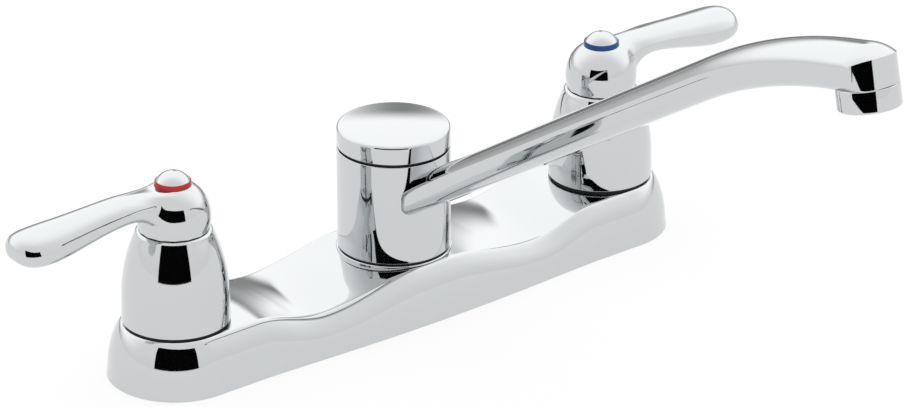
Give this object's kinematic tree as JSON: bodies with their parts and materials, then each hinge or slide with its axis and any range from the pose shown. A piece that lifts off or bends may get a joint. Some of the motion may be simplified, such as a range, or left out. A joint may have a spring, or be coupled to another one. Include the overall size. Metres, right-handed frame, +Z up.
{
  "type": "commercial kitchen faucet",
  "caption": "Two-handle deck-mounted kitchen faucet: saddle-topped deck plate, lever handles on bell covers and a swivelling cast spout with an aerator, all chrome.",
  "frame": {"origin": "on the deck, on the axis of the spout post", "axes": "+X to the cold side, -Y to the user, +Z up"},
  "size_m": [0.3412, 0.293, 0.2501],
  "materials": {
    "chrome_plate": "polished",
    "brass": "machined",
    "copper": "drawn",
    "steel": "zinc plated",
    "rubber": "matte",
    "acetal": "moulded",
    "black_acetal": "moulded",
    "alumina": "lapped",
    "red_plastic": "moulded",
    "blue_plastic": "moulded"
  },
  "bodies": {
    "base": {"deck_plate": "chrome_plate", "deck_gasket": "rubber", "post_o_rings": "rubber", "spout_post": "brass", "spout_retaining_nut": "brass", "spout_thrust_washer": "acetal", "spout_glide_ring": "black_acetal", "hot_bell": "chrome_plate", "hot_shank": "brass", "hot_mounting_nut": "brass", "hot_valve_body": "brass", "hot_cartridge_body": "brass", "hot_bonnet_nut": "brass", "hot_crossover_tube": "copper", "hot_seat_seal": "rubber", "hot_bell_seal": "rubber", "hot_fixed_disc": "alumina", "hot_mounting_washer": "steel", "cold_bell": "chrome_plate", "cold_shank": "brass", "cold_mounting_nut": "brass", "cold_valve_body": "brass", "cold_cartridge_body": "brass", "cold_bonnet_nut": "brass", "cold_crossover_tube": "copper", "cold_seat_seal": "rubber", "cold_bell_seal": "rubber", "cold_fixed_disc": "alumina", "cold_mounting_washer": "steel"},
    "spout": {"spout_hub": "chrome_plate", "hub_cap": "chrome_plate", "hub_cap_seal": "rubber", "spout_arm": "chrome_plate", "aerator_collar": "chrome_plate", "aerator_screen": "acetal", "aerator_washer": "rubber"},
    "hot_handle": {"hot_lever": "chrome_plate", "hot_index_ring": "red_plastic", "hot_index_cap": "chrome_plate", "hot_handle_screw": "steel", "hot_stem": "brass", "hot_turning_disc": "alumina"},
    "cold_handle": {"cold_lever": "chrome_plate", "cold_index_ring": "blue_plastic", "cold_index_cap": "chrome_plate", "cold_handle_screw": "steel", "cold_stem": "brass", "cold_turning_disc": "alumina"}
  },
  "joints": [
    {"name": "spout_swivel", "type": "hinge", "parent": "base", "child": "spout", "pos_m": [0, 0, 0.04], "axis": [0, 0, 1], "continuous": true},
    {"name": "hot_handle_turn", "type": "hinge", "parent": "base", "child": "hot_handle", "pos_m": [-0.1016, 0, 0.06], "axis": [0, 0, 1], "range_deg": [0, 90]},
    {"name": "cold_handle_turn", "type": "hinge", "parent": "base", "child": "cold_handle", "pos_m": [0.1016, 0, 0.06], "axis": [0, 0, 1], "range_deg": [-90, 0]}
  ]
}
